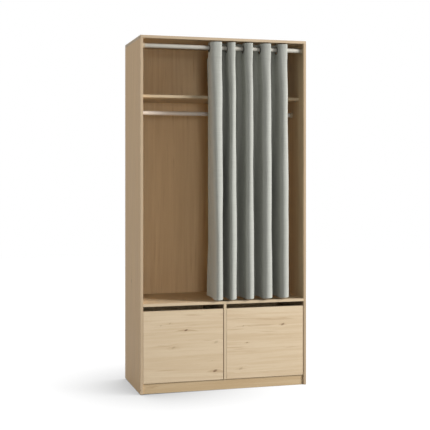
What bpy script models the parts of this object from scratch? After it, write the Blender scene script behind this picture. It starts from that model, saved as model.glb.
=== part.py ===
"""Curtain wardrobe.

A flat-pack carcass of 16 mm boards with a hat shelf, a hanging rail and two drawers side by
side at its foot. The hanging space is closed by an eyelet curtain on its own rail, just under
the top. The curtain runs along that rail on ten eyelets. The drawers run on strips.

Frame: metres, +Z up, the front looks along -Y. The origin is at the middle of the footprint,
at floor level. The footprint is the carcass and the curtain folds that stand out in front.
"""

import math

import bmesh
import bpy
from mathutils import Matrix, Vector

# Carcass
carcass_width = 1.000
carcass_depth = 0.475
carcass_height = 2.040
board = 0.016
back_board = 0.003
back_inset = 0.002
deck_top = 0.514
plinth_height = 0.0615
plinth_setback = 0.008
hat_space = 0.3155
shelf_side_gap = 0.0005
shelf_clearance = 0.0044
edge_round = 0.0008
seat_gap = 0.0003
cut_overrun = 0.002
weld_distance = 0.00001

# Glides under the side panels
glide_inset = 0.001
glide_height = 0.003
glide_place_shares = (0.08, 0.92)
glide_steps = 12

# Shelf pins
pin_radius = 0.0025
pin_length = 0.018
pin_place_shares = (0.14, 0.86)
pin_steps = 8

# Rails, both of the same tube
rail_radius = 0.0125
rail_wall = 0.0012
rail_steps = 24
curtain_rail_setback = 0.030
hanging_rail_setback = 0.200
hanging_rail_drop = 0.0815

# Sockets that carry the rail ends. A peg behind each flange is pressed into the side panel
socket_depth = 0.016
socket_wall = 0.0025
flange_rim = 0.003
flange_thickness = 0.003
socket_peg_radius = 0.005
socket_peg_length = 0.011

# Drawers. The fronts are fixed a little to the left in their bays, as in the photograph
front_left_gap = 0.0008
front_right_gap = 0.0042
front_foot_gap = 0.0012
finger_gap = 0.0265
drawer_board = 0.015
drawer_bottom_board = 0.006
drawer_side_height = 0.300
drawer_back_gap = 0.0254
drawer_lift = 0.012
drawer_play = 0.002
runner_thickness = 0.009
runner_height = 0.017
runner_setback = 0.020
runner_height_share = 0.45
groove_play = 0.0012

# Eyelets: a ring of two rolled flanges round a short tube
eyelet_inner_radius = 0.018
eyelet_tube_wall = 0.0015
eyelet_rim = 0.0055
eyelet_flange = 0.0012
eyelet_steps = 16

# Where the eyelets hang, as shares of the inner width from the middle
eyelet_place_shares = (-0.0904, -0.0227, 0.0176, 0.0610, 0.1209,
                       0.1674, 0.2262, 0.2820, 0.3337, 0.3895)

# Curtain cloth
cloth = 0.0012
heading_gap = 0.008
heading_over_rail = 0.032
hem_clearance = 0.007
fold_reach = 0.042
flank_margin = 0.0006
hem_front_reach = 0.052
hem_back_reach = 0.058
shelf_back_reach = 0.040
hem_tail_reach = 0.076
tail_heading_slant = 0.012
tail_hem_slant = 0.020
heading_margin = 0.001

# How far the cloth hangs to the right of its eyelets at the hem: the first, all others, and
# what the right side of each front fold has more. Most of it comes right under the heading
first_hem_drift = 0.030
hem_drift = 0.011
right_side_drift = 0.004
drift_form_share = 0.4

# Heights of the cloth's rows below the heading, as shares from the shelf's foot to the hem
row_height_shares = (0.0, 0.33, 0.67, 1.0)

# How far each of those rows has gone from the heading's form to the hem's form
row_form_shares = (0.25, 0.62, 0.85, 1.0)

# The turn of a fold between its two flanks, in steps of half a circle, and its squareness
turn_steps = 6
turn_square_share = 0.8

wood_colour = (0.62, 0.50, 0.35, 1.0)
rail_colour = (0.72, 0.71, 0.68, 1.0)
cloth_colour = (0.36, 0.38, 0.35, 1.0)
eyelet_colour = (0.03, 0.03, 0.032, 1.0)
grey_colour = (0.45, 0.43, 0.40, 1.0)
white_colour = (0.78, 0.77, 0.74, 1.0)
steel_colour = (0.60, 0.60, 0.60, 1.0)


for old in list(bpy.data.objects):
    bpy.data.objects.remove(old)

parts = bpy.data.collections.new("curtain_wardrobe")
cutters = bpy.data.collections.new("cutters")
bpy.context.scene.collection.children.link(parts)
bpy.context.scene.collection.children.link(cutters)
cutters.hide_render = True


# Helpers

def material(name, colour, roughness, metallic=0.0):
    made = bpy.data.materials.new(name)
    made.use_nodes = True
    shader = made.node_tree.nodes["Principled BSDF"]
    shader.inputs["Base Color"].default_value = colour
    shader.inputs["Roughness"].default_value = roughness
    shader.inputs["Metallic"].default_value = metallic
    return made


def add_object(name, bm, home=parts):
    mesh = bpy.data.meshes.new(name)
    bm.to_mesh(mesh)
    bm.free()
    made = bpy.data.objects.new(name, mesh)
    home.objects.link(made)
    return made


def hang(piece, anchor):
    """Parent a piece to an empty and keep where it stands."""
    piece.parent = anchor
    piece.matrix_parent_inverse = anchor.matrix_world.inverted()


def empty(name, place):
    made = bpy.data.objects.new(name, None)
    made.location = place
    parts.objects.link(made)
    bpy.context.view_layer.update()
    return made


def add_box(bm, low, high):
    size = Vector(high) - Vector(low)
    middle = (Vector(high) + Vector(low)) / 2
    scaled = Matrix.Translation(middle) @ Matrix.Diagonal((*size, 1))
    bmesh.ops.create_cube(bm, size=1, matrix=scaled)


def add_rod(bm, start, end, radius, steps):
    start = Vector(start)
    along = Vector(end) - start
    turned = along.to_track_quat("Z", "Y").to_matrix().to_4x4()
    bmesh.ops.create_cone(bm, cap_ends=True, cap_tris=False, segments=steps, radius1=radius,
                          radius2=radius, depth=along.length,
                          matrix=Matrix.Translation(start + along / 2) @ turned)


def board_piece(name, low, high, finish, anchor=None):
    """A board with eased edges. Its object stands at the board's middle."""
    middle = (Vector(low) + Vector(high)) / 2
    bm = bmesh.new()
    add_box(bm, Vector(low) - middle, Vector(high) - middle)
    made = add_object(name, bm)
    made.location = middle
    made.data.materials.append(finish)
    thinnest = min(Vector(high) - Vector(low))
    if thinnest > 4 * edge_round:
        ease = made.modifiers.new("eased edges", "BEVEL")
        ease.width = edge_round
        ease.segments = 1
        ease.limit_method = "ANGLE"
    bpy.context.view_layer.update()
    if anchor:
        hang(made, anchor)
    return made


def rod_piece(name, rod, steps, finish):
    bm = bmesh.new()
    start, end, radius = rod
    add_rod(bm, start, end, radius, steps)
    made = add_object(name, bm)
    made.data.materials.append(finish)
    return made


def cut(piece, name, rods=(), boxes=(), steps=0):
    """Take holes and grooves out of a piece."""
    bm = bmesh.new()
    for start, end, radius in rods:
        add_rod(bm, start, end, radius, steps)
    for low, high in boxes:
        add_box(bm, low, high)
    cutter = add_object(name, bm, cutters)
    cutter.hide_render = True
    cutter.display_type = "WIRE"
    taken = piece.modifiers.new(name, "BOOLEAN")
    taken.operation = "DIFFERENCE"
    taken.solver = "EXACT"
    taken.object = cutter
    return cutter


def grown(rods, gap):
    """The holes for a set of rods: wider by the gap, and longer by it at each end."""
    holes = []
    for start, end, radius in rods:
        along = (Vector(end) - Vector(start)).normalized() * gap
        holes.append((Vector(start) - along, Vector(end) + along, radius + gap))
    return holes


def turned(name, profile, closed, steps, finish):
    """A profile of (radius, place along X), turned round the X axis."""
    bm = bmesh.new()
    corners = [bm.verts.new((along, 0, radius)) for radius, along in profile]
    for a, b in zip(corners, corners[1:] + corners[:closed]):
        bm.edges.new((a, b))
    made = add_object(name, bm)
    turn = made.modifiers.new("turned", "SCREW")
    turn.axis = "X"
    turn.angle = math.tau
    turn.steps = steps
    turn.render_steps = steps
    turn.use_merge_vertices = True
    turn.merge_threshold = weld_distance
    turn.use_smooth_shade = False
    made.data.materials.append(finish)
    return made


# Places that the pieces share
half_width = carcass_width / 2
inner_half = half_width - board
inner_width = 2 * inner_half
half_board = board / 2
top_under = carcass_height - board
shelf_top = top_under - hat_space
shelf_under = shelf_top - board
deck_under = deck_top - board
bottom_top = plinth_height
bottom_under = bottom_top - board
side_foot = glide_height + seat_gap
eyelet_places = [share * inner_width for share in eyelet_place_shares]

# The rail lies under the curtain's heading, the hanging rail under the shelf
heading = top_under - heading_gap
curtain_rail_height = heading - heading_over_rail
hanging_rail_height = shelf_under - hanging_rail_drop

# The ring hangs on the rail: both are many-sided, with a corner of each at the top
ring_flat = eyelet_inner_radius * math.cos(math.pi / eyelet_steps)
ring_drop = ring_flat - rail_radius - seat_gap
ring_height = curtain_rail_height - ring_drop
eyelet_flange_radius = eyelet_inner_radius + eyelet_rim
flank_half = eyelet_flange_radius + flank_margin

# How far the curtain stands out in front of the carcass
front_reach = max(fold_reach, hem_front_reach) + cloth / 2
curtain_proud = max(0, front_reach - curtain_rail_setback)
front = -(carcass_depth - curtain_proud) / 2
back = front + carcass_depth
board_back = back - back_board - seat_gap
board_depth = board_back - front
curtain_rail_y = front + curtain_rail_setback
hanging_rail_y = front + hanging_rail_setback
shelf_front = curtain_rail_y + shelf_back_reach + cloth / 2 + shelf_clearance


def at_share(share):
    """A place along the depth of the carcass boards."""
    return front + share * board_depth


# Finishes
oak = material("oak_foil", wood_colour, 0.55)
oak_back = material("oak_hardboard", wood_colour, 0.6)
rail_finish = material("rail_white", rail_colour, 0.35, 0.3)
socket_finish = material("socket_grey", grey_colour, 0.5)
white_plastic = material("white_plastic", white_colour, 0.5)
steel = material("zinc_steel", steel_colour, 0.35, 1.0)
cloth_finish = material("curtain_cloth", cloth_colour, 0.9)
eyelet_finish = material("eyelet_black", eyelet_colour, 0.4, 0.6)

# Carcass boards
left_side = board_piece("left_side_panel", (-half_width, front, side_foot),
                        (-inner_half, board_back, top_under - seat_gap), oak)
right_side = board_piece("right_side_panel", (inner_half, front, side_foot),
                         (half_width, board_back, top_under - seat_gap), oak)
top = board_piece("top_panel", (-half_width, front, top_under),
                  (half_width, board_back, carcass_height), oak)

board_end = inner_half - seat_gap
deck = board_piece("deck_panel", (-board_end, front, deck_under),
                   (board_end, board_back, deck_top), oak)
plinth_front = front + plinth_setback
plinth_back = plinth_front + board
bottom = board_piece("bottom_panel", (-board_end, plinth_back + seat_gap, bottom_under),
                     (board_end, board_back, bottom_top), oak)
plinth = board_piece("plinth_board", (-board_end, plinth_front, side_foot),
                     (board_end, plinth_back, plinth_height), oak)
divider = board_piece("centre_divider", (-half_board, front, bottom_top + seat_gap),
                      (half_board, board_back, deck_under - seat_gap), oak)
shelf_end = inner_half - shelf_side_gap
shelf = board_piece("hat_shelf", (-shelf_end, shelf_front, shelf_under),
                    (shelf_end, board_back, shelf_top), oak)

back_low = bottom_under
back_high = carcass_height - back_inset
back_edge = half_width - back_inset
back_face = back - back_board
board_piece("back_panel_left", (-back_edge, back_face, back_low),
            (-seat_gap / 2, back, back_high), oak_back)
board_piece("back_panel_right", (seat_gap / 2, back_face, back_low),
            (back_edge, back, back_high), oak_back)

# Glides
side_middle = half_width - half_board
glide_radius = half_board - glide_inset
for side_name, side in (("left", -1), ("right", 1)):
    for place_name, share in zip(("front", "rear"), glide_place_shares):
        place = (side * side_middle, at_share(share), 0)
        head = (side * side_middle, at_share(share), glide_height)
        rod_piece(f"floor_glide_{side_name}_{place_name}", (place, head, glide_radius),
                  glide_steps, white_plastic)

# Shelf pins: half of each is in a side panel, half under the shelf
pin_height = shelf_under - seat_gap - pin_radius
shelf_depth = board_back - shelf_front
pin_holes = {-1: [], 1: []}
for side_name, side in (("left", -1), ("right", 1)):
    for place_name, share in zip(("front", "rear"), pin_place_shares):
        place_y = shelf_front + share * shelf_depth
        start = (side * (inner_half - pin_length / 2), place_y, pin_height)
        end = (side * (inner_half + pin_length / 2), place_y, pin_height)
        pin = (start, end, pin_radius)
        rod_piece(f"shelf_pin_{side_name}_{place_name}", pin, pin_steps, steel)
        pin_holes[side] += grown([pin], seat_gap)

# Sockets, turned round the rail's axis: a peg, a flange and a cup for the rail's end
rail_places = {"curtain": (curtain_rail_y, curtain_rail_height),
               "hanging": (hanging_rail_y, hanging_rail_height)}
cup_bore = rail_radius + seat_gap
cup_radius = cup_bore + socket_wall
flange_radius = cup_radius + flange_rim
socket_profile = [(0, flange_thickness), (cup_bore, flange_thickness),
                  (cup_bore, socket_depth), (cup_radius, socket_depth),
                  (cup_radius, flange_thickness), (flange_radius, flange_thickness),
                  (flange_radius, 0), (socket_peg_radius, 0),
                  (socket_peg_radius, -socket_peg_length), (0, -socket_peg_length)]
rail_end = inner_half - seat_gap - flange_thickness - seat_gap
peg_holes = {-1: [], 1: []}
for rail_name, (place_y, height) in rail_places.items():
    for side_name, side in (("left", -1), ("right", 1)):
        socket = turned(f"{rail_name}_rail_socket_{side_name}", socket_profile, False,
                        rail_steps, socket_finish)
        socket.location = (side * (inner_half - seat_gap), place_y, height)
        if side > 0:
            socket.rotation_euler = (0, 0, math.pi)
        peg = ((side * inner_half, place_y, height),
               (side * (inner_half - seat_gap + socket_peg_length), place_y, height),
               socket_peg_radius)
        peg_holes[side] += grown([peg], seat_gap)

# Rails
tube_profile = [(rail_radius, rail_end), (rail_radius, -rail_end),
                (rail_radius - rail_wall, -rail_end), (rail_radius - rail_wall, rail_end)]
for rail_name, (place_y, height) in rail_places.items():
    rail = turned(f"{rail_name}_rail", tube_profile, True, rail_steps, rail_finish)
    rail.location = (0, place_y, height)

for side, panel in ((-1, left_side), (1, right_side)):
    cut(panel, f"{panel.name}_pin_holes", rods=pin_holes[side], steps=pin_steps)
    cut(panel, f"{panel.name}_peg_holes", rods=peg_holes[side], steps=rail_steps)

# Runner strips, fixed to the sides and the divider, and the drawers that hang on them
box_front = front + board + seat_gap
box_back = board_back - drawer_back_gap
box_foot = bottom_top + drawer_lift
side_low = box_foot + drawer_bottom_board + seat_gap
side_high = side_low + drawer_side_height
runner_middle = side_low + runner_height_share * drawer_side_height
runner_low = runner_middle - runner_height / 2
runner_high = runner_middle + runner_height / 2
runner_start = box_front + runner_setback
runner_end = box_back
groove_low = runner_low - groove_play
groove_high = runner_high + seat_gap
groove_depth = runner_thickness + seat_gap - drawer_play + groove_play
front_foot = plinth_height + front_foot_gap
front_head = deck_under - finger_gap
groove_start = runner_start - groove_play

for name, side in (("left", -1), ("right", 1)):
    bay_low = -inner_half if side < 0 else half_board
    bay_high = -half_board if side < 0 else inner_half
    for wall_name, wall, inward in (("left", bay_low, 1), ("right", bay_high, -1)):
        near = wall + inward * seat_gap
        far = near + inward * runner_thickness
        board_piece(f"{name}_drawer_{wall_name}_runner",
                    (min(near, far), runner_start, runner_low),
                    (max(near, far), runner_end, runner_high), white_plastic)

    slide = empty(f"{name}_drawer_slide", ((bay_low + bay_high) / 2, front, runner_middle))
    board_piece(f"{name}_drawer_front", (bay_low + front_left_gap, front, front_foot),
                (bay_high - front_right_gap, front + board, front_head), oak, slide)
    box_low = bay_low + drawer_play
    box_high = bay_high - drawer_play
    left_wall = board_piece(f"{name}_drawer_left_side", (box_low, box_front, side_low),
                            (box_low + drawer_board, box_back, side_high), oak, slide)
    right_wall = board_piece(f"{name}_drawer_right_side",
                             (box_high - drawer_board, box_front, side_low),
                             (box_high, box_back, side_high), oak, slide)
    end_low = box_low + drawer_board + seat_gap
    end_high = box_high - drawer_board - seat_gap
    board_piece(f"{name}_drawer_back", (end_low, box_back - drawer_board, side_low),
                (end_high, box_back, side_high), oak, slide)
    board_piece(f"{name}_drawer_bottom", (box_low, box_front, box_foot),
                (box_high, box_back, box_foot + drawer_bottom_board), oak_back, slide)
    for wall, outer, inward in ((left_wall, box_low, 1), (right_wall, box_high, -1)):
        inner_face = outer + inward * groove_depth
        past_face = outer - inward * cut_overrun
        cut(wall, f"{wall.name}_groove",
            boxes=[((min(inner_face, past_face), groove_start, groove_low),
                    (max(inner_face, past_face), box_back + cut_overrun, groove_high))])

# Curtain
draw = empty("curtain_draw", (0, curtain_rail_y, curtain_rail_height))
hem = deck_top + hem_clearance
last_square_row = ring_height - eyelet_flange_radius - heading_margin
first_loose_row = shelf_under - heading_margin
rows = [(heading, 0.0), (last_square_row, 0.0)]
for height_share, form_share in zip(row_height_shares, row_form_shares):
    rows.append((first_loose_row + height_share * (hem - first_loose_row), form_share))
shelf_form = row_form_shares[0]


def mixed(first, second, share):
    return first + (second - first) * share


def eyelet_x(index, form):
    """Where the cloth crosses the rail's plane, at a row of that form."""
    if index == 0:
        return eyelet_places[index] + first_hem_drift * form
    drift = hem_drift + right_side_drift * (index % 2)
    return eyelet_places[index] + drift * form ** drift_form_share


def back_reach(form):
    """The folds behind the rail stay in front of the shelf, then deepen below it."""
    if form <= shelf_form:
        return mixed(fold_reach, shelf_back_reach, form / shelf_form)
    return mixed(shelf_back_reach, hem_back_reach, (form - shelf_form) / (1 - shelf_form))


def tail_reach(form):
    if form <= shelf_form:
        return mixed(fold_reach, shelf_back_reach, form / shelf_form)
    return mixed(shelf_back_reach, hem_tail_reach, (form - shelf_form) / (1 - shelf_form))


def fold_points(index, form):
    """The cloth from one eyelet to the next: out along a flank, round the turn, and back."""
    outward = -1 if index % 2 == 0 else 1
    reach = mixed(fold_reach, hem_front_reach, form) if outward < 0 else back_reach(form)
    start = eyelet_x(index, form)
    end = eyelet_x(index + 1, form)
    middle = (start + end) / 2
    half = (end - start) / 2
    square = [(start, 0.0)]
    for step in range(turn_steps + 1):
        angle = math.pi * step / turn_steps
        across = math.copysign(abs(math.cos(angle)) ** turn_square_share, math.cos(angle))
        depth = flank_half + (fold_reach - flank_half) * math.sin(angle) ** turn_square_share
        square.append((middle - half * across, depth))
    square.append((end, 0.0))
    count = len(square) - 1
    points = []
    for step, (square_x, square_y) in enumerate(square):
        share = step / count
        wave_x = start + (end - start) * share
        wave_y = reach * math.sin(math.pi * share)
        points.append((mixed(square_x, wave_x, form),
                       curtain_rail_y + outward * mixed(square_y, wave_y, form)))
    return points


def tail_points(index, form):
    """The cloth that hangs back from the first or the last eyelet, from its free edge.

    Its edge is drawn in towards the folds at the heading, and stands out from them at the hem.
    """
    inward = 1 if index == 0 else -1
    slant = inward * mixed(tail_heading_slant, -tail_hem_slant, form)
    reach = tail_reach(form)
    near_share = flank_half / fold_reach
    crossing = eyelet_x(index, form)
    return [(crossing + slant, curtain_rail_y + reach),
            (crossing + slant * near_share * form, curtain_rail_y + reach * near_share)]


def pulled_in(points, gap):
    """Shorten the first and the last stretch by half the gap between two nodes."""
    first = Vector(points[0])
    first += (Vector(points[1]) - first).normalized() * gap / 2
    last = Vector(points[-1])
    last += (Vector(points[-2]) - last).normalized() * gap / 2
    return [tuple(first)] + points[1:-1] + [tuple(last)]


eyelet_count = len(eyelet_places)
hole_radius = eyelet_inner_radius + eyelet_tube_wall + seat_gap
hole_bm = bmesh.new()
add_rod(hole_bm, (eyelet_places[0] - fold_reach, curtain_rail_y, ring_height),
        (eyelet_places[-1] + fold_reach, curtain_rail_y, ring_height), hole_radius, eyelet_steps)
hole_cutter = add_object("eyelet_holes", hole_bm, cutters)
hole_cutter.hide_render = True
hole_cutter.display_type = "WIRE"

for index in range(eyelet_count - 1):
    bm = bmesh.new()
    grid = []
    for height, form in rows:
        points = fold_points(index, form)
        if index == 0:
            points = tail_points(0, form) + points
        if index == eyelet_count - 2:
            points = points + tail_points(eyelet_count - 1, form)[::-1]
        points = pulled_in(points, seat_gap)
        grid.append([bm.verts.new((x, y, height)) for x, y in points])
    for upper, lower in zip(grid, grid[1:]):
        for i in range(len(upper) - 1):
            bm.faces.new((upper[i], lower[i], lower[i + 1], upper[i + 1]))
    fold = add_object(f"curtain_fold_{index + 1}", bm)
    fold.data.materials.append(cloth_finish)
    thick = fold.modifiers.new("cloth", "SOLIDIFY")
    thick.thickness = cloth
    thick.offset = 0
    holes = fold.modifiers.new("eyelet holes", "BOOLEAN")
    holes.operation = "DIFFERENCE"
    holes.solver = "EXACT"
    holes.object = hole_cutter
    hang(fold, draw)

groove_half = cloth / 2 + seat_gap
ring_half = groove_half + eyelet_flange
eyelet_tube_radius = eyelet_inner_radius + eyelet_tube_wall
ring_profile = [(eyelet_inner_radius, ring_half), (eyelet_flange_radius, ring_half),
                (eyelet_flange_radius, groove_half), (eyelet_tube_radius, groove_half),
                (eyelet_tube_radius, -groove_half), (eyelet_flange_radius, -groove_half),
                (eyelet_flange_radius, -ring_half), (eyelet_inner_radius, -ring_half)]
for index, place in enumerate(eyelet_places):
    ring = turned(f"eyelet_{index + 1}", ring_profile, True, eyelet_steps, eyelet_finish)
    ring.location = (place, curtain_rail_y, ring_height)
    bpy.context.view_layer.update()
    hang(ring, draw)
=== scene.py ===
"""Looks of the curtain wardrobe: oak foil, rails, eyelets, the hung cloth, light and camera.

Metres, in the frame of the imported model: +Z up, the front looks along -Y.
"""

import math

import bpy
import numpy as np
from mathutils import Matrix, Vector


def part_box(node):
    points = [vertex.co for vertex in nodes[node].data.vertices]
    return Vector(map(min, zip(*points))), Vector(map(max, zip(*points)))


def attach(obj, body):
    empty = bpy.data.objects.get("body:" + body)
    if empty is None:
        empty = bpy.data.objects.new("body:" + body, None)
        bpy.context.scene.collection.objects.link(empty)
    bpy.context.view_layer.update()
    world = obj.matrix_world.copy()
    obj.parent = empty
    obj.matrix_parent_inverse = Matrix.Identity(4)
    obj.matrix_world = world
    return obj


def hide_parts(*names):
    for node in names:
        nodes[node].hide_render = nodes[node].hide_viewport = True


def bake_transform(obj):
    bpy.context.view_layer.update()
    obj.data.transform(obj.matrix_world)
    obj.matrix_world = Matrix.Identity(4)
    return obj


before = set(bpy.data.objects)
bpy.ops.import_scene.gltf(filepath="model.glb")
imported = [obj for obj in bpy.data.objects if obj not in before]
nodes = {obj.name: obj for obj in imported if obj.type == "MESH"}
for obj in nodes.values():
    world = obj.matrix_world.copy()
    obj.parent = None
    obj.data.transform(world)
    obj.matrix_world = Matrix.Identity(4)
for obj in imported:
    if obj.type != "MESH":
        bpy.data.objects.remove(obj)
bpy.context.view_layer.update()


# Camera: a level view from the left, fitted to the carcass outline of the photograph

camera_place = (-1.583, -5.643, 1.251)
camera_turn = -15.69
camera_lens = 81.54
camera_shift = -0.09495

camera = bpy.data.objects.new("camera", bpy.data.cameras.new("camera"))
camera.location = camera_place
camera.rotation_euler = (math.radians(90), 0, math.radians(camera_turn))
camera.data.lens = camera_lens
camera.data.shift_y = camera_shift
camera.data.clip_end = 60
bpy.context.scene.collection.objects.link(camera)
bpy.context.scene.camera = camera
bpy.context.scene.view_settings.view_transform = "Standard"


# Materials

class Graph:
    """The nodes of a material or the world, made in short calls that return output sockets."""

    def __init__(self, owner):
        owner.use_nodes = True
        self.owner = owner
        self.tree = owner.node_tree

    def add(self, kind, inputs, out=0, **settings):
        node = self.tree.nodes.new(kind)
        for key, value in settings.items():
            setattr(node, key, value)
        for key, value in inputs.items():
            self.put(node.inputs[key], value)
        return node.outputs[out]

    def put(self, socket, value):
        if isinstance(value, bpy.types.NodeSocket):
            self.tree.links.new(value, socket)
        else:
            socket.default_value = value

    def finish(self, **values):
        """Set the shader's inputs, and give back the material."""
        shader = self.tree.nodes["Principled BSDF"]
        for key, value in values.items():
            self.put(shader.inputs[key.replace("_", " ")], value)
        return self.owner

    def sum(self, a, b, how="ADD"):
        return self.add("ShaderNodeMath", {0: a, 1: b}, operation=how)

    def times(self, a, b):
        return self.sum(a, b, "MULTIPLY")

    def size(self, a):
        return self.add("ShaderNodeMath", {0: a}, operation="ABSOLUTE")

    def join(self, x, y, z):
        return self.add("ShaderNodeCombineXYZ", {0: x, 1: y, 2: z})

    def span(self, value, low, high, to_low=0.0, to_high=1.0):
        """Map a range smoothly to another."""
        return self.add("ShaderNodeMapRange", {"Value": value, "From Min": low, "From Max": high,
                                               "To Min": to_low, "To Max": to_high},
                        interpolation_type="SMOOTHSTEP")

    def noise(self, vector, scale=1.0, detail=2.0, rough=0.5):
        return self.add("ShaderNodeTexNoise", {"Vector": vector, "Scale": scale,
                                               "Detail": detail, "Roughness": rough})

    def mix(self, share, a, b, how="MIX"):
        node = self.tree.nodes.new("ShaderNodeMix")
        node.data_type = "RGBA"
        node.blend_type = how
        for socket, value in ((node.inputs[0], share), (node.inputs[6], a), (node.inputs[7], b)):
            self.put(socket, value)
        return node.outputs[2]

    def wave(self, value, pitch):
        return self.add("ShaderNodeMath", {0: self.times(value, 2 * math.pi / pitch)},
                        operation="SINE")

    def bump(self, height, distance, strength=1.0):
        return self.add("ShaderNodeBump", {"Height": height, "Distance": distance,
                                           "Strength": strength})

    def split(self, vector):
        node = self.tree.nodes.new("ShaderNodeSeparateXYZ")
        self.put(node.inputs[0], vector)
        return list(node.outputs)

    def place(self):
        """The place on the piece at rest, its normal there, and its UV."""
        node = self.tree.nodes.new("ShaderNodeTexCoord")
        return node.outputs["Object"], node.outputs["Normal"], node.outputs["UV"]


def rgb(*levels):
    """Screen levels from 0 to 255, as a linear colour."""
    shares = [level / 255 for level in levels]
    return tuple(s / 12.92 if s < 0.04045 else ((s + 0.055) / 1.055) ** 2.4
                 for s in shares) + (1.0,)


def scaled(colour, share):
    """A colour made darker or paler, no paler than white."""
    return tuple(min(1.0, share * level) for level in colour[:3]) + (1.0,)


oak_pale = rgb(216, 197, 168)
oak_mid = rgb(208, 187, 156)
oak_deep = rgb(197, 173, 140)
oak_streak = rgb(168, 138, 104)
oak_knot = rgb(104, 74, 48)
front_band = rgb(206, 187, 160)
carcass_band = rgb(184, 164, 137)
# A darker copy of the carcass band: painted shade on the right side's front edge
right_band_painted_shade = rgb(171, 149, 121)
inner_band = rgb(202, 182, 152)
# A darker copy of the inner band: painted shade on the hat shelf's front edge, which the key lamp
# reaches less
shelf_band_painted_shade = rgb(188, 168, 137)
raw_board = rgb(150, 112, 78)
raw_fleck = rgb(128, 92, 62)
raw_cloud = rgb(166, 130, 94)

foil_gloss = 0.25
foil_relief = 0.00025
foil_relief_strength = 0.35


def oak(name, grain, across, seed, knots=(), painted_light_and_shade=(1.0, 1.0, 1.0), band=inner_band,
        raw_back=False):
    """Foil with straight oak grain along one axis, and an edge band of its own colour.

    Each knot is (place along the grain, place across it, radius, streak half length, strength).
    """
    g = Graph(bpy.data.materials.new(name))
    place, normal, _ = g.place()
    spots = g.split(place)
    normals = g.split(normal)
    deep = 3 - grain - across
    along, over, through = spots[grain], spots[across], spots[deep]

    shift = g.sum(along, seed * 1.7)
    drift = g.noise(g.join(g.times(shift, 0.9), g.times(over, 4.0), g.times(through, 4.0)),
                    detail=1.0)
    over_bent = g.sum(over, g.times(g.sum(drift, -0.5), 0.05))
    ragged = g.sum(g.noise(g.join(g.times(shift, 60.0), g.times(over, 150.0), seed), detail=2.0),
                   -0.5)
    marks = []
    for knot_along, knot_over, radius, streak, strength in knots:
        dx = g.sum(along, -knot_along)
        dy = g.sum(over, -knot_over)
        slanted = g.sum(dy, g.times(dx, -0.35))
        ring = g.sum(g.sum(g.times(dx, 0.55 / radius), 2.0, "POWER"),
                     g.sum(g.times(slanted, 1.0 / radius), 2.0, "POWER"))
        core = g.span(g.sum(ring, g.times(ragged, 1.6)), 1.5, 0.15, 0.0, strength)
        sag = g.sum(dy, g.times(g.times(dx, dx), 0.12 / streak))
        long_ring = g.sum(g.sum(g.times(dx, 1.0 / streak), 2.0, "POWER"),
                          g.sum(g.times(g.sum(sag, g.times(ragged, 0.006)), 0.9 / radius), 2.0,
                                "POWER"))
        tail = g.span(long_ring, 1.3, 0.0, 0.0, strength)
        bend = g.span(ring, 16.0, 0.6, 0.0, 0.45)
        over_bent = g.sum(over_bent, g.times(g.times(dy, bend), -1.0))
        marks.append((core, tail))

    side = g.times(through, 20.0)

    def streaks(rate_along, rate_across, detail, rough=0.5):
        """Noise drawn out along the grain, at so many spots a metre along and across it."""
        return g.noise(g.join(g.times(shift, rate_along), g.times(over_bent, rate_across), side),
                       detail=detail, rough=rough)

    broad = streaks(1.1, 11.0, 2.0)
    figure = streaks(1.9, 52.0, 3.0, 0.55)
    lines = streaks(4.0, 210.0, 3.0)
    pores = streaks(26.0, 1300.0, 1.0)
    rare = streaks(3.6, 70.0, 2.0)

    colour = g.mix(g.span(figure, 0.34, 0.66), oak_deep, oak_pale)
    colour = g.mix(0.40, colour, oak_mid)
    layers = ((broad, 0.36, 0.64, 0.50, oak_mid), (broad, 0.56, 0.75, 0.30, oak_deep),
              (lines, 0.52, 0.72, 0.20, oak_deep), (rare, 0.64, 0.74, 0.40, oak_streak),
              (pores, 0.60, 0.70, 0.18, oak_streak))
    for pattern, low, high, share, paint in layers:
        colour = g.mix(g.span(pattern, low, high, 0.0, share), colour, paint)
    for core, tail in marks:
        colour = g.mix(g.times(tail, g.span(lines, 0.40, 0.62, 0.25, 0.8)), colour, oak_streak)
        colour = g.mix(g.times(core, g.span(lines, 0.3, 0.7, 0.6, 1.0)), colour, oak_knot)

    # Painted light and shade: the foil face of a board, but not its edge band, is multiplied
    # darker or paler to stand in for how the lamps fall on it
    colour = g.mix(1.0, colour, painted_light_and_shade + (1.0,), "MULTIPLY")
    edges = g.sum(g.size(normals[grain]), g.size(normals[across]))
    banded = g.mix(g.span(lines, 0.4, 0.7, 0.0, 0.4), band, scaled(band, 0.86))
    colour = g.mix(g.span(edges, 0.3, 0.9, 0.0, 0.85), colour, banded)
    if raw_back:
        fleck = g.noise(place, 420.0, 3.0)
        cloud = g.noise(place, 9.0, 3.0)
        board = g.mix(g.span(fleck, 0.35, 0.7), raw_fleck, raw_board)
        board = g.mix(g.span(cloud, 0.35, 0.7, 0.0, 0.35), board, raw_cloud)
        colour = g.mix(g.span(normals[1], 0.5, 0.9), colour, board)

    relief = g.sum(g.times(pores, -0.6), g.times(lines, 0.5))
    return g.finish(Base_Color=colour,
                    Roughness=g.span(figure, 0.3, 0.7, 0.50, 0.60),
                    Specular_IOR_Level=foil_gloss,
                    Normal=g.bump(relief, foil_relief, foil_relief_strength))


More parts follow.
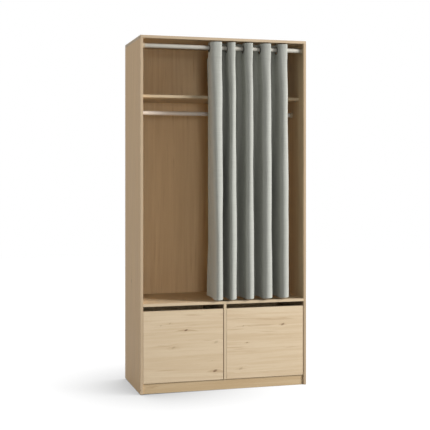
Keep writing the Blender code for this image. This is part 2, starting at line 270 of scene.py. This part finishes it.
def moulded(name, colour, roughness, grain_size, metallic=0.0, coat=0.0):
    """Plastic, lacquer or plated metal: a faint mottle, fine grain and uneven gloss."""
    g = Graph(bpy.data.materials.new(name))
    place, _, _ = g.place()
    mottle = g.noise(place, 14.0, 3.0)
    grain = g.noise(place, 1.0 / grain_size, 2.0)
    shade = g.mix(g.span(mottle, 0.3, 0.7), scaled(colour, 0.9), colour)
    return g.finish(Base_Color=shade, Metallic=metallic, Coat_Weight=coat, Coat_Roughness=0.2,
                    Roughness=g.span(mottle, 0.3, 0.7, roughness * 0.88, roughness * 1.12),
                    Normal=g.bump(grain, grain_size * 0.2, 0.3))


thread_pitch = 0.00075
stitch_pitch = 0.0034
stitch_row_gap = 0.006
weave_relief = 0.00008
slub_relief = 0.00012
seam_relief = -0.0007
stitch_relief = 0.0005


def woven(name, colour, width, length):
    """Plain weave with slubs. UVs are in metres: across the cloth, and up from its hem."""
    g = Graph(bpy.data.materials.new(name))
    _, _, uv = g.place()
    u, v, _ = g.split(uv)
    weave = g.times(g.wave(u, thread_pitch), g.wave(v, thread_pitch))
    warp_slub = g.noise(g.join(g.times(u, 620.0), g.times(v, 9.0), 0.0), detail=2.0)
    weft_slub = g.noise(g.join(g.times(u, 12.0), g.times(v, 620.0), 3.0), detail=2.0)
    slub = g.sum(warp_slub, weft_slub)
    cloud = g.noise(g.join(g.times(u, 5.0), g.times(v, 3.0), 7.0), detail=3.0)

    pale = scaled(colour, 1.05)
    dark = scaled(colour, 0.88)
    shade = g.mix(g.span(slub, 0.75, 1.25), dark, pale)
    shade = g.mix(g.span(cloud, 0.3, 0.7, 0.0, 0.3), shade, dark)

    # Seams: two rows of stitches under the heading, one over the hem, one along each side
    rows = [(v, length - heading_band, u), (v, length - heading_band + stitch_row_gap, u),
            (v, hem_band, u), (u, side_band, v), (u, width - side_band, v)]
    groove = stitches = None
    for cross, place, run in rows:
        off = g.size(g.sum(cross, -place))
        dip = g.span(off, 0.0035, 0.0)
        dash = g.wave(run, stitch_pitch)
        stitch = g.times(g.span(off, 0.0007, 0.0003), g.span(dash, -0.55, -0.25))
        groove = dip if groove is None else g.sum(groove, dip, "MAXIMUM")
        stitches = stitch if stitches is None else g.sum(stitches, stitch, "MAXIMUM")
    # Painted shade: the cloth's colour is darkened in the seam grooves
    shade = g.mix(g.times(groove, 0.25), shade, dark)
    shade = g.mix(g.times(stitches, 0.6), shade, pale)

    relief = g.sum(g.times(weave, weave_relief), g.times(slub, slub_relief))
    relief = g.sum(relief, g.sum(g.times(groove, seam_relief), g.times(stitches, stitch_relief)))
    return g.finish(Base_Color=shade, Roughness=g.span(slub, 0.7, 1.3, 0.92, 0.80),
                    Sheen_Weight=0.12, Sheen_Roughness=0.35, Normal=g.bump(relief, 1.0, 1.0))


def dress(material, *names):
    for name in names:
        for slot in nodes[name].material_slots:
            slot.material = material


left_knots = ((-0.2337, 0.3573, 0.0055, 0.075, 1.0), (-0.0597, 0.1161, 0.0075, 0.055, 0.8),
              (-0.3073, 0.2599, 0.0060, 0.050, 0.28), (-0.0543, 0.2807, 0.0070, 0.030, 0.25),
              (-0.3810, 0.3887, 0.0035, 0.045, 0.32), (-0.3296, 0.3986, 0.0035, 0.025, 0.38),
              (-0.0796, 0.1738, 0.0020, 0.060, 0.35))
right_knots = ((0.3521, 0.3673, 0.0060, 0.030, 0.75), (0.1093, 0.3670, 0.0025, 0.075, 0.75),
               (0.1325, 0.2685, 0.0028, 0.020, 0.65), (0.0950, 0.1200, 0.0070, 0.040, 0.25))
# Painted shade: the left side's foil is darker and warmer than the fronts', to stand in for the
# shade on its outer face
dress(oak("oak_left_side", 2, 1, 1.3, ((0.62, 0.04, 0.006, 0.06, 0.8),),
          (0.975, 0.845, 0.68), carcass_band), "left_side_panel")
# Painted shade: the right side's foil is darkened against the key lamp, and its edge band is a
# darker copy of the carcass band
dress(oak("oak_right_side", 2, 1, 2.9, ((1.25, 0.11, 0.006, 0.06, 0.8),),
          (0.90, 0.87, 0.81), right_band_painted_shade), "right_side_panel")
# Painted shade: the top's foil is darkened, which shows on its underside
dress(oak("oak_top", 0, 1, 4.1, painted_light_and_shade=(0.95, 0.92, 0.88), band=carcass_band), "top_panel")
dress(oak("oak_deck", 0, 1, 5.7), "deck_panel", "bottom_panel")
# Painted shade on the hat shelf's edge band
dress(oak("oak_shelf", 0, 1, 6.5, band=shelf_band_painted_shade), "hat_shelf")
dress(oak("oak_divider", 2, 1, 7.2), "centre_divider")
# Painted shade: the plinth's foil is darker than the fronts', for the shade under the drawers
dress(oak("oak_plinth", 0, 2, 8.8, painted_light_and_shade=(0.83, 0.78, 0.685)), "plinth_board")
dress(oak("oak_left_front", 0, 2, 9.4, left_knots, band=front_band), "left_drawer_front")
dress(oak("oak_right_front", 0, 2, 10.6, right_knots, band=front_band), "right_drawer_front")
# Painted light: the back's oak face is made paler than the other boards, for light inside the
# carcass; the raw rear face keeps its colour
dress(oak("oak_back", 2, 0, 11.9, painted_light_and_shade=(1.24, 1.165, 1.035), raw_back=True), "back_panel_left",
      "back_panel_right")
drawer_oak = oak("oak_drawer_box", 1, 2, 13.1)
drawer_floor = oak("oak_drawer_floor", 1, 0, 14.7)
drawer_back = oak("oak_drawer_back", 0, 2, 15.2)
for side in ("left", "right"):
    dress(drawer_oak, f"{side}_drawer_left_side", f"{side}_drawer_right_side")
    dress(drawer_floor, f"{side}_drawer_bottom")
    dress(drawer_back, f"{side}_drawer_back")

# Painted shade: the curtain rail's white lacquer is dulled to grey against the key lamp
rail_white = moulded("rail_white", rgb(186, 182, 171), 0.46, 0.0009)
rail_cream = moulded("rail_cream", rgb(244, 236, 227), 0.40, 0.0009)
socket_beige = moulded("socket_beige", rgb(172, 157, 132), 0.5, 0.0006)
white_plastic = moulded("white_plastic", rgb(226, 225, 220), 0.48, 0.0006)
zinc = moulded("zinc_steel", rgb(190, 190, 186), 0.36, 0.0005, metallic=1.0)
eyelet_black = moulded("eyelet_black", rgb(66, 66, 64), 0.45, 0.0004, metallic=0.35, coat=0.2)
cap_beige = moulded("cap_beige", rgb(190, 166, 132), 0.5, 0.0006)

dress(white_plastic, *(n for n in nodes if n.startswith("floor_glide") or "runner" in n))
dress(zinc, *(n for n in nodes if n.startswith("shelf_pin")))


# Hardware

crease_degrees = 35.0
corner_share = 0.45


def make(name, points, faces, material):
    """A smooth-shaded mesh piece in the scene."""
    mesh = bpy.data.meshes.new(name)
    mesh.from_pydata([tuple(p) for p in points], [], [tuple(f) for f in faces])
    mesh.materials.append(material)
    for face in mesh.polygons:
        face.use_smooth = True
    mesh.update()
    piece = bpy.data.objects.new(name, mesh)
    bpy.context.scene.collection.objects.link(piece)
    return piece


def lathe(profile, steps, centre, axis=0, closed=True):
    """Points and faces of a profile of (radius, along), turned round an axis."""
    count = len(profile)
    points, faces = [], []
    for step in range(steps):
        angle = math.tau * step / steps
        for radius, along in profile:
            local = [0.0, 0.0, 0.0]
            local[axis] = along
            local[(axis + 1) % 3] = radius * math.cos(angle)
            local[(axis + 2) % 3] = radius * math.sin(angle)
            points.append(Vector(centre) + Vector(local))
        after = (step + 1) % steps
        for i in range(count if closed else count - 1):
            k = (i + 1) % count
            faces.append((step * count + i, after * count + i, after * count + k,
                          step * count + k))
    return points, faces


def crease(piece, degrees=crease_degrees):
    """Keep the piece's hard edges hard under smooth shading."""
    piece.data.set_sharp_from_angle(angle=math.radians(degrees))


def middle(name):
    low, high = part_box(name)
    return (low + high) / 2


def rounded(corners, radius, steps=3):
    """A closed profile with its corners rounded off."""
    made = []
    count = len(corners)
    for i, corner in enumerate(corners):
        here = Vector(corner)
        before = Vector(corners[i - 1]) - here
        after = Vector(corners[(i + 1) % count]) - here
        reach = min(radius, before.length * corner_share, after.length * corner_share)
        start = here + before.normalized() * reach
        end = here + after.normalized() * reach
        for step in range(steps + 1):
            t = step / steps
            made.append(tuple((1 - t) ** 2 * start + 2 * t * (1 - t) * here + t ** 2 * end))
    return made


rail_steps = 48
rail_wall = 0.0012
rail_edge = 0.0004
socket_play = 0.0003
socket_wall = 0.0025
socket_edge = 0.0008
seat_gap = 0.0003
flange_thickness = 0.003
cup_foot = 0.0032
cup_hole = 0.004
for rail_name in ("curtain", "hanging"):
    low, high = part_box(f"{rail_name}_rail")
    centre = (low + high) / 2
    radius = (high.z - low.z) / 2
    half = (high.x - low.x) / 2
    tube = rounded([(radius, half), (radius, -half), (radius - rail_wall, -half),
                    (radius - rail_wall, half)], rail_edge)
    paint = rail_white if rail_name == "curtain" else rail_cream
    rail = make(f"{rail_name}_tube", *lathe(tube, rail_steps, centre), paint)
    crease(rail)
    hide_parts(f"{rail_name}_rail")
    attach(rail, "carcass")
    for side_name, side in (("left", -1), ("right", 1)):
        name = f"{rail_name}_rail_socket_{side_name}"
        low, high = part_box(name)
        panel_low, panel_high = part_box(f"{side_name}_side_panel")
        inner = panel_high.x if side < 0 else panel_low.x
        seat = inner - side * seat_gap
        lip = low.x if side > 0 else high.x
        depth = abs(lip - seat)
        flange = (high.z - low.z) / 2
        bore = radius + socket_play
        cup = bore + socket_wall
        face = -side * flange_thickness
        corners = [(bore, face), (bore, -side * depth), (cup, -side * depth),
                   (cup, -side * cup_foot), (flange, face), (flange, 0.0),
                   (cup_hole, 0.0), (cup_hole, face)]
        seat_centre = Vector((seat, centre.y, centre.z))
        socket = make(f"{rail_name}_cup_{side_name}",
                      *lathe(rounded(corners, socket_edge), rail_steps, seat_centre),
                      socket_beige)
        crease(socket)
        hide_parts(name)
        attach(socket, "carcass")


dome_shares = ((1.0, 0.0), (1.0, 0.45), (0.94, 0.8), (0.8, 0.95), (0.4, 1.0))


def dome(centre, radius, height, axis, side, steps=20):
    """A low round cap that stands on a face."""
    profile = [(radius * r, side * height * h) for r, h in dome_shares]
    points, faces = lathe(profile, steps, centre, axis, closed=False)
    count = len(profile)
    faces.append([step * count + count - 1 for step in range(steps)])
    return points, faces


def gather(name, parts, material):
    """Several small fasteners of one kind as one piece on the carcass."""
    points, faces = [], []
    for part_points, part_faces in parts:
        start = len(points)
        points += part_points
        faces += [tuple(start + i for i in face) for face in part_faces]
    piece = make(name, points, faces, material)
    crease(piece)
    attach(piece, "carcass")


side_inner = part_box("right_side_panel")[0].x
under_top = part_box("top_panel")[0].z
carcass_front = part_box("right_side_panel")[0].y
carcass_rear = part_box("right_side_panel")[1].y
cap_radius = 0.0085
cap_height = 0.0009
cap_drop = 0.020
cap_front_inset = 0.078
cap_rear_inset = 0.060
caps = []
for side in (-1, 1):
    for place_y in (carcass_front + cap_front_inset, carcass_rear - cap_rear_inset):
        caps.append(dome((side * side_inner, place_y, under_top - cap_drop), cap_radius,
                         cap_height, 0, -side))
gather("joint_caps", caps, cap_beige)

back_low, back_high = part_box("back_panel_left")
back_outer = back_high.y
back_end = -back_low.x
nail_pitch = 0.118
nail_inset = 0.006
nail_end = 0.007
nail_radius = 0.0022
nail_height = 0.0006
nail_steps = 10
nail_spaces = 8
strip_clearance = 0.02


def nail(place_x, height):
    return dome((place_x, back_outer, height), nail_radius, nail_height, 1, 1, nail_steps)


nails = []
for edge_x in (-back_end + nail_inset, back_end - nail_inset):
    count = round((back_high.z - back_low.z) / nail_pitch)
    for k in range(count + 1):
        height = back_low.z + nail_end + (back_high.z - back_low.z - 2 * nail_end) * k / count
        nails.append(nail(edge_x, height))
for height in (back_high.z - nail_inset, middle("deck_panel").z,
               middle("bottom_panel").z + 0.001):
    for k in range(1, nail_spaces):
        place_x = -back_end + 2 * back_end * k / nail_spaces
        if abs(place_x) > strip_clearance:
            nails.append(nail(place_x, height))
gather("back_nails", nails, zinc)

strip_half = 0.008
strip_thickness = 0.0009
strip_edge = 0.0005
strip_end_gap = 0.001
strip = rounded([(-strip_half, 0.0), (strip_half, 0.0), (strip_half, strip_thickness),
                 (-strip_half, strip_thickness)], strip_edge, 2)
strip_ends = (back_low.z + strip_end_gap, back_high.z - strip_end_gap)
strip_points = [(x, back_outer + y, z) for z in strip_ends for x, y in strip]
count = len(strip)
strip_faces = [(i, (i + 1) % count, count + (i + 1) % count, count + i) for i in range(count)]
strip_faces += [tuple(range(count))[::-1], tuple(range(count, 2 * count))]
joint_strip = make("back_joint_strip", strip_points, strip_faces, white_plastic)
crease(joint_strip)
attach(joint_strip, "carcass")


# Eyelets

eyelet_count = 10
eyelets = [middle(f"eyelet_{k}") for k in range(1, eyelet_count + 1)]
eyelet_outer = (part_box("eyelet_1")[1].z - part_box("eyelet_1")[0].z) / 2
rail_y = eyelets[0].y
ring_z = eyelets[0].z
ring_steps = 56
ring_crease_degrees = 60.0
half_profile = [(0.0180, 0.0011), (0.0182, 0.0018), (0.0187, 0.0022), (0.0197, 0.0024),
                (0.0207, 0.0022), (0.0216, 0.0018), (0.0222, 0.0013), (0.0224, 0.0011),
                (0.0222, 0.0008), (0.0216, 0.0007), (0.0196, 0.0007)]
ring_profile = half_profile + [(r, -a) for r, a in reversed(half_profile)]
for k, centre in enumerate(eyelets, 1):
    ring = make(f"eyelet_ring_{k}", *lathe(ring_profile, ring_steps, centre), eyelet_black)
    crease(ring, ring_crease_degrees)
    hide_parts(f"eyelet_{k}")
    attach(ring, f"eyelet_body_{k}")


# Curtain cloth. It is drawn as one surface and then split at the eyelets

flank_margin = 0.0006
hole_lap = 0.0038
flank_half = eyelet_outer + flank_margin
heading_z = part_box("curtain_fold_1")[1].z
hem_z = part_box("curtain_fold_1")[0].z
heading_reach = 0.0415
front_reach = 0.052
back_reach = 0.068
hem_rise = 0.006  # of the back folds
shelf_reach = 0.0410
shelf_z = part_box("hat_shelf")[1].z
heading_band = 0.098
hem_band = 0.060
side_band = 0.020
hole_radius = eyelet_outer - hole_lap
fold_steps = 44
tail_steps = 16

# How far right of each eyelet the cloth crosses the rail's plane by the hem. All but the first
# crossing also go to the right by cloth_drift a little below the heading
hem_drifts = (0.028, 0.004, 0.002, 0.008, 0.002, 0.009, 0.003, 0.010, 0.004, 0.011)
cloth_drift = 0.0074
drift_depth = 0.25

# How far the turn of each front fold leans to the right, by the heading and by the hem
heading_leans = (0.0086, 0.0080, 0.0132, 0.0159, 0.0124)
hem_leans = (-0.0066, -0.0092, -0.0047, -0.0036, -0.0019)
back_lean = 0.0030

# The lower the power, the fuller the turn. The back folds' power grows with their reach
front_power = 0.32
back_power_reaches = (0.041, 0.068)
back_powers = (0.62, 0.92)

# The depth below the heading over which the squared form gives way to the loose one
form_depth = 0.26
wobble_reach = 0.0011
wobble_seed = 0.4
sway_share = 0.05


def smooth(value):
    value = np.clip(value, 0.0, 1.0)
    return value * value * (3 - 2 * value)


def along(points, shares):
    """Points at shares of a polyline's length."""
    steps = np.hypot(*np.diff(points, axis=0).T)
    reached = np.concatenate([[0.0], np.cumsum(steps)])
    return np.stack([np.interp(shares * reached[-1], reached, points[:, i]) for i in (0, 1)], 1)


def square_curve(length, reach, shares):
    """Out along a flank, round a turn and back, as the eyelets hold the cloth."""
    angle = np.linspace(0, math.pi, 49)
    across = np.sign(np.cos(angle)) * np.abs(np.cos(angle)) ** 0.9
    turn = np.stack([length / 2 * (1 - across),
                     flank_half + (reach - flank_half) * np.sin(angle) ** 0.9], 1)
    return along(np.vstack([[0.0, 0.0], turn, [length, 0.0]]), shares)


def wave_curve(length, reach, shares, power):
    """One loose fold. The lower the power, the fuller its turn."""
    t = np.linspace(0, 1, 97)
    return along(np.stack([length * t, reach * np.sin(math.pi * t) ** power], 1), shares)


def wobble(k, depth):
    """A slow sideways wander down the cloth. It starts from nothing at the heading."""
    wander = (np.sin(depth * 7.1 + k * 2.3 + wobble_seed)
              + 0.6 * np.sin(depth * 12.7 + k * 4.1 + wobble_seed)
              + 0.35 * np.sin(depth * 23.0 + k * 1.7 + wobble_seed))
    return wobble_reach * wander * smooth(depth / 0.5)


# The heights of the cloth's rows: even where the eyelets hold it, wider further down, close on
# both sides of the hem's seam, and even in the hem
square_rows, loose_rows, seam_rows, hem_rows = 33, 62, 4, 7
loose_spread = 1.15
loose_end, seam_start, seam_end, hem_start = 0.068, 0.064, 0.056, 0.050
square_end = ring_z - eyelet_outer - 0.001
loose_length = square_end - hem_z - loose_end
heights = np.concatenate([
    np.linspace(heading_z, square_end, square_rows)[:-1],
    square_end - loose_length * np.linspace(0, 1, loose_rows) ** loose_spread,
    np.linspace(hem_z + seam_start, hem_z + seam_end, seam_rows),
    np.linspace(hem_z + hem_start, hem_z, hem_rows)])
depths = np.maximum(square_end - heights, 0.0)
forms = 1 - np.exp(-depths / form_depth)

crossings = np.array([[eyelets[k].x + drift * smooth(depth / (square_end - hem_z)) ** 0.7
                       for depth in depths] for k, drift in enumerate(hem_drifts)])
for k in range(len(eyelets)):
    crossings[k] += wobble(k, depths)
    if k > 0:
        crossings[k] += cloth_drift * smooth(depths / drift_depth)

shares = np.linspace(0, 1, fold_steps + 1)

# The tails, from each end eyelet back to the free edge: how far they reach and slant inward at
# these heights, from the hem up. The last tail keeps off the side panel when it is drawn
tail_heights = (hem_z, 1.60, 1.70, square_end - 0.03, square_end, heading_z)
tail_reaches = (0.076, 0.048, 0.0415, 0.042, 0.0415, 0.040)
tail_slants = (-0.021, -0.001, 0.000, -0.001, 0.011, 0.013)
last_tail_slants = (-0.007,) + tail_slants[1:]
tail_curl = 0.004
tail_shares = np.linspace(1, 0, tail_steps + 1)[:-1]


def tail_column(k, share):
    """One column of the tail at eyelet k, at a share of its reach."""
    inward = 1 if k == 0 else -1
    reach = np.interp(heights, tail_heights, tail_reaches)
    slant = np.interp(heights, tail_heights, tail_slants if k == 0 else last_tail_slants)
    out = reach * share
    straight = np.clip((out - flank_half) / (reach - flank_half), 0, 1)
    bend = (1 - forms) * straight + forms * share
    curl = tail_curl * np.sin(math.pi * share) * forms * inward
    x = crossings[k] + inward * slant * bend + curl
    return np.stack([x, rail_y + out], 1)


def fold_points(k):
    """Every row of the cloth from eyelet k to the next."""
    outward = -1 if k % 2 == 0 else 1
    rows = []
    for row, form in enumerate(forms):
        start, end = crossings[k][row], crossings[k + 1][row]
        length = end - start
        sway = 1 + sway_share * math.sin(depths[row] * 6.3 + k * 2.9) * form
        if outward < 0:
            loose = front_reach * (1 - 0.03 * (k % 3)) * min(sway, 1.0)
            power = front_power
            lean = (1 - form) * heading_leans[k // 2] + form * hem_leans[k // 2]
        else:
            below = float(smooth((shelf_z - 0.05 - heights[row]) / 0.5))
            loose = shelf_reach + (back_reach * sway - shelf_reach) * below
            power = float(np.interp(loose, back_power_reaches, back_powers))
            lean = back_lean * form
        square = square_curve(length, heading_reach, shares)
        wave = wave_curve(length, loose, shares, power)
        mixed = (1 - form) * square + form * wave
        mixed[:, 0] += lean * (mixed[:, 1] / mixed[:, 1].max()) ** 3
        rows.append(np.stack([start + mixed[:, 0], rail_y + outward * mixed[:, 1]], 1))
    return np.array(rows)  # row, column, xy


folds = [fold_points(k) for k in range(len(eyelets) - 1)]
grid = [tail_column(0, share) for share in tail_shares]
for k, fold in enumerate(folds):
    last = k == len(folds) - 1
    grid += [fold[:, i] for i in range(fold_steps + (1 if last else 0))]
grid += [tail_column(len(eyelets) - 1, share) for share in tail_shares[::-1]]
grid = np.array(grid).transpose(1, 0, 2)  # row, column, xy

# Flat places across the cloth come from the mean of all rows, so the weave keeps straight
steps = np.linalg.norm(np.diff(grid, axis=1), axis=2).mean(0)
flat = np.concatenate([[0.0], np.cumsum(steps)])
cloth_width = float(flat[-1])
cloth_length = float(heading_z - hem_z)

# The hem's height: the free corner of the first fold is drawn up, the others differ a little.
# Both corners of the heading droop
corner_rise = 0.012
hem_ripple = 0.0022
ripple_rate = 29.0
hem_tilt = 0.001
corner_droop = 0.010
droop_share = 0.75
total = grid.shape[1]
corner = smooth(1 - flat / (flat[tail_steps] * 1.15))
fold_number = np.clip((flat - flat[tail_steps]) / (flat[-tail_steps - 1] - flat[tail_steps]), 0, 1)
raise_hem = (corner_rise * corner + hem_ripple * (1 - np.cos(fold_number * ripple_rate))
             + hem_tilt * fold_number)
raise_hem += hem_rise * smooth((grid[-1, :, 1] - rail_y + 0.03) / 0.07)
last_tail = flat[-1] - flat[-tail_steps - 1]
droop = corner_droop * smooth(1 - flat / (flat[tail_steps] * droop_share))
droop += corner_droop * smooth(1 - (flat[-1] - flat) / (last_tail * droop_share))
down = (heading_z - heights) / (heading_z - hem_z)
z = (heights[:, None] + raise_hem[None, :] * smooth(down * 1.6 - 0.6)[:, None]
     - droop[None, :] * (1 - smooth(down * 9))[:, None])
surface = np.concatenate([grid, z[:, :, None]], 2)

# Half the thickness, which is more at the heading, the hem and the side hems
single_half = 0.00035
hemmed_half = 0.00055
flat_up = cloth_length * (1 - down)
half = np.full(surface.shape[:2], single_half)
half[(flat_up > cloth_length - heading_band) | (flat_up < hem_band)] = hemmed_half
half[:, (flat < side_band) | (flat > cloth_width - side_band)] = hemmed_half

across_step = np.gradient(surface, axis=1)
down_step = np.gradient(surface, axis=0)
normals = np.cross(down_step, across_step)
normals /= np.linalg.norm(normals, axis=2, keepdims=True)

cloth = woven("curtain_cloth", rgb(165, 166, 158), cloth_width, cloth_length)


def cloth_piece(name, first, last, holes):
    """Two layers of the surface between two columns, with the eyelet holes, closed at the rim."""
    part = surface[:, first:last + 1].copy()
    push = normals[:, first:last + 1] * half[:, first:last + 1, None]
    rows, count = part.shape[:2]
    distance = np.full((rows, count), 1.0)
    for column in holes:
        near = np.hypot(part[:, :, 1] - rail_y, part[:, :, 2] - ring_z)
        columns_near = np.abs(np.arange(count) - (column - first)) < fold_steps // 2
        distance = np.where(columns_near[None, :], np.minimum(distance, near), distance)
    inside = distance < hole_radius

    index = np.arange(rows * count).reshape(rows, count)
    corners = np.stack([index[:-1, :-1], index[1:, :-1], index[1:, 1:], index[:-1, 1:]], -1)
    gone = (inside[:-1, :-1].astype(int) + inside[1:, :-1] + inside[1:, 1:] + inside[:-1, 1:]) > 1
    quads = corners[~gone].reshape(-1, 4)

    # The corners next to a hole move onto its circle
    removed = np.unique(corners[gone])
    kept = np.unique(quads)
    edge = np.intersect1d(removed, kept)
    for vertex in edge:
        row, column = divmod(int(vertex), count)
        offset = part[row, column, 1:] - np.array([rail_y, ring_z])
        part[row, column, 1:] = np.array([rail_y, ring_z]) + offset * (
            hole_radius / max(np.linalg.norm(offset), 1e-6))

    top = (part + push).reshape(-1, 3)
    under = (part - push).reshape(-1, 3)
    order = np.full(rows * count, -1)
    order[kept] = np.arange(len(kept))
    points = np.concatenate([top[kept], under[kept]])
    front = order[quads]
    rear = front[:, ::-1] + len(kept)
    edges = np.concatenate([front[:, [a, (a + 1) % 4]] for a in range(4)])
    keys = np.sort(edges, axis=1)
    _, place, uses = np.unique(keys, axis=0, return_index=True, return_counts=True)
    rim_edges = edges[place[uses == 1]]
    rim = np.stack([rim_edges[:, 1], rim_edges[:, 0], rim_edges[:, 0] + len(kept),
                    rim_edges[:, 1] + len(kept)], 1)
    faces = np.concatenate([front, rear, rim])

    piece = make(name, points, faces, cloth)
    mesh = piece.data
    mesh.validate()
    uv = mesh.uv_layers.new(name="cloth")
    flat_u = np.repeat(flat[None, first:last + 1], rows, 0).reshape(-1)[kept]
    flat_v = np.repeat(flat_up[:, None], count, 1).reshape(-1)[kept]
    pair = np.stack([np.concatenate([flat_u, flat_u]), np.concatenate([flat_v, flat_v])], 1)
    corner_vertices = np.zeros(len(mesh.loops), int)
    mesh.loops.foreach_get("vertex_index", corner_vertices)
    uv.data.foreach_set("uv", pair[corner_vertices].reshape(-1).astype(np.float32))
    rim_keys = {tuple(sorted(e)) for layer in (0, len(kept)) for e in (rim_edges + layer).tolist()}
    for e in mesh.edges:
        if tuple(sorted(e.vertices)) in rim_keys:
            e.use_edge_sharp = True
    return piece


for k in range(len(folds)):
    first = tail_steps + k * fold_steps
    last = first + fold_steps
    holes = [first, last]
    if k == 0:
        first = 0
    if k == len(folds) - 1:
        last = total - 1
    piece = cloth_piece(f"curtain_cloth_{k + 1}", first, last, holes)
    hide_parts(f"curtain_fold_{k + 1}")
    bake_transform(piece)


# Floor, backdrop and light

def seen_ray(g):
    """One for the rays that show a background: to the camera, or by way of gloss or glass."""
    node = g.tree.nodes.new("ShaderNodeLightPath")
    seen = g.sum(node.outputs["Is Camera Ray"], node.outputs["Is Glossy Ray"], "MAXIMUM")
    return g.sum(seen, node.outputs["Is Transmission Ray"], "MAXIMUM")


floor_half = 9.0
contact_reach = 0.55
shade_right, shade_left = 0.55, -0.65  # the floor's shade grows from the first x to the second
floor_grey = (0.20, 0.20, 0.20, 1.0)
floor_grey_seen = (0.06, 0.06, 0.06, 1.0)
white = (1.0, 1.0, 1.0, 1.0)
floor_graph = Graph(bpy.data.materials.new("floor_white"))
place, _, _ = floor_graph.place()
seen = seen_ray(floor_graph)
spots = floor_graph.split(place)
# Painted shadow: the floor's glow to the camera is dimmed by ambient occlusion near the wardrobe,
# fully left of shade_left and not at all right of shade_right
open_sky = floor_graph.add("ShaderNodeAmbientOcclusion", {"Distance": contact_reach}, out=1,
                           samples=16)
painted_contact_shadow = floor_graph.times(floor_graph.sum(1.0, open_sky, "SUBTRACT"),
                            floor_graph.span(spots[0], shade_right, shade_left))
glow = floor_graph.sum(1.0, painted_contact_shadow, "SUBTRACT")
floor_white = floor_graph.finish(Base_Color=floor_graph.mix(seen, floor_grey, floor_grey_seen),
                                 Roughness=0.9, Specular_IOR_Level=0.0, Emission_Color=white,
                                 Emission_Strength=floor_graph.times(seen, glow))
floor = make("floor", [(-floor_half, -floor_half, 0), (floor_half, -floor_half, 0),
                       (floor_half, floor_half, 0), (-floor_half, floor_half, 0)],
             [(0, 1, 2, 3)], floor_white)

world_level = 0.05
sky = Graph(bpy.data.worlds.new("studio"))
bpy.context.scene.world = sky.owner
background = sky.tree.nodes["Background"]
background.inputs["Color"].default_value = white
sky.put(background.inputs["Strength"],
        sky.sum(sky.times(seen_ray(sky), 1.0 - world_level), world_level))


lamp_aim = Vector((0, 0, 1.0))

# Each lamp's name, place, the width of its square, and watts
lamps = (("key", (7.35, -4.48, 3.63), 3.2, 1300), ("side", (-6.64, -1.29, 2.81), 2.5, 158),
         ("front", (-1.11, -7.90, 1.56), 1.3, 80), ("rear", (1.41, 5.25, 3.54), 2.0, 150))
for name, place, width, power in lamps:
    light = bpy.data.lights.new(name, "AREA")
    light.shape = "RECTANGLE"
    light.size = width
    light.size_y = width
    light.energy = power
    made = bpy.data.objects.new(name, light)
    made.location = place
    made.rotation_euler = (lamp_aim - Vector(place)).to_track_quat("-Z", "Y").to_euler()
    bpy.context.scene.collection.objects.link(made)
